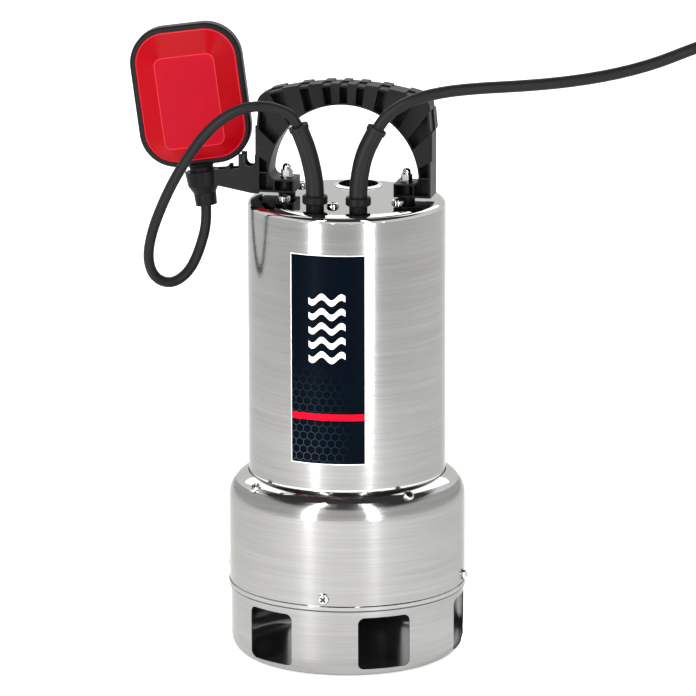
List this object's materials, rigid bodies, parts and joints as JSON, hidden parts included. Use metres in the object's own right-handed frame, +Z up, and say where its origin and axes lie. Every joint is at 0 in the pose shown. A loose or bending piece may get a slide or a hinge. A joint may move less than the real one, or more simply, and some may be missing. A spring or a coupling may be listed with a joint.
{
  "type": "submersible sump pump",
  "caption": "Stainless-steel submersible dirty-water pump with a strainer base, arched handle, top outlet and a float switch parked in its holder.",
  "frame": {"origin": "centre of the base, on the plane it stands on", "axes": "+Z up along the pump's axis and the shaft, +X along the handle away from the float, -Y towards the cable glands"},
  "size_m": [0.6429, 0.202, 0.4916],
  "materials": {
    "stainless_brushed": "brushed, bright",
    "stainless_polished": "polished",
    "steel_zinc": "bright zinc",
    "black_nylon": "fine-grained matte",
    "black_rubber": "satin",
    "black_plastic": "matte",
    "red_plastic": "satin gloss",
    "copper": "enamelled wire",
    "core_steel": "laminated",
    "ceramic": "lapped",
    "aluminium": "die cast",
    "nickel_brass": "bright",
    "capacitor_can": "smooth"
  },
  "bodies": {
    "pump_body": {"strainer_cup": "stainless_brushed", "outer_casing": "stainless_brushed", "clamp_ring": "stainless_brushed", "motor_jacket": "stainless_brushed", "discharge_socket": "stainless_polished", "rim_screws": "stainless_polished", "rim_nuts": "stainless_polished", "shoulder_screws": "stainless_polished", "top_screws": "stainless_polished", "suction_cover": "black_plastic", "suction_cover_screws": "stainless_polished", "volute_casing": "black_plastic", "volute_o_ring": "black_rubber", "seal_housing": "aluminium", "seal_seat": "ceramic", "oil_chamber_cover": "aluminium", "lip_seal": "black_rubber", "lower_bearing_outer": "steel_zinc", "upper_bearing_outer": "steel_zinc", "upper_bearing_bracket": "aluminium", "motor_can": "stainless_brushed", "stator_core": "core_steel", "stator_windings": "copper", "capacitor": "capacitor_can", "can_top_cover": "black_plastic", "power_gland_body": "black_nylon", "float_gland_body": "black_nylon", "power_gland_nut": "black_nylon", "float_gland_nut": "black_nylon", "power_bend_protector": "black_rubber", "float_bend_protector": "black_rubber", "power_cord": "black_rubber", "power_cord_coil": "black_rubber", "power_cord_tail": "black_rubber", "plug_body": "black_rubber", "plug_pins": "nickel_brass", "handle": "black_nylon", "handle_studs": "stainless_polished", "handle_washers": "stainless_polished", "acorn_nuts": "stainless_polished", "float_holder": "black_nylon", "holder_screws": "stainless_polished", "float_cord": "black_rubber"},
    "rotor": {"motor_shaft": "steel_zinc", "rotor_core": "core_steel", "impeller": "black_plastic", "impeller_nut": "stainless_polished", "seal_head": "ceramic", "seal_bellows": "black_rubber", "lower_bearing_inner": "steel_zinc", "upper_bearing_inner": "steel_zinc"},
    "lower_ball_set": {"lower_bearing_balls": "steel_zinc"},
    "upper_ball_set": {"upper_bearing_balls": "steel_zinc"},
    "float": {"float_frame": "black_nylon", "float_front_cover": "red_plastic", "float_rear_cover": "red_plastic", "float_switch_box": "black_plastic"},
    "float_ball": {"switch_ball": "steel_zinc"},
    "float_lever": {"switch_lever": "black_plastic"}
  },
  "joints": [
    {"name": "rotor_spin", "type": "hinge", "parent": "pump_body", "child": "rotor", "pos_m": [0, 0, 0.08], "axis": [0, 0, 1], "continuous": true},
    {"name": "lower_ball_orbit", "type": "hinge", "parent": "pump_body", "child": "lower_ball_set", "pos_m": [0, 0, 0.126], "axis": [0, 0, 1], "continuous": true},
    {"name": "upper_ball_orbit", "type": "hinge", "parent": "pump_body", "child": "upper_ball_set", "pos_m": [0, 0, 0.2735], "axis": [0, 0, 1], "continuous": true},
    {"name": "float_lift", "type": "slide", "parent": "pump_body", "child": "float", "axis": [-0.1323, 0, 0.9912], "range_m": [0, 0.03], "deforming": ["float_cord"]},
    {"name": "float_ball_roll", "type": "slide", "parent": "float", "child": "float_ball", "axis": [-0.1323, 0, 0.9912], "range_m": [0, 0.016]},
    {"name": "float_lever_turn", "type": "hinge", "parent": "float", "child": "float_lever", "pos_m": [-0.10514, 0.00152, 0.40496], "axis": [-0.1311, 0.9912, -0.0175], "range_deg": [0, 15]}
  ],
  "couplings": [
    {"joint": "lower_ball_orbit", "follows": "rotor_spin", "ratio": 0.38},
    {"joint": "upper_ball_orbit", "follows": "rotor_spin", "ratio": 0.38},
    {"joint": "float_lever_turn", "follows": "float_ball_roll", "rad_per_m": 15}
  ]
}
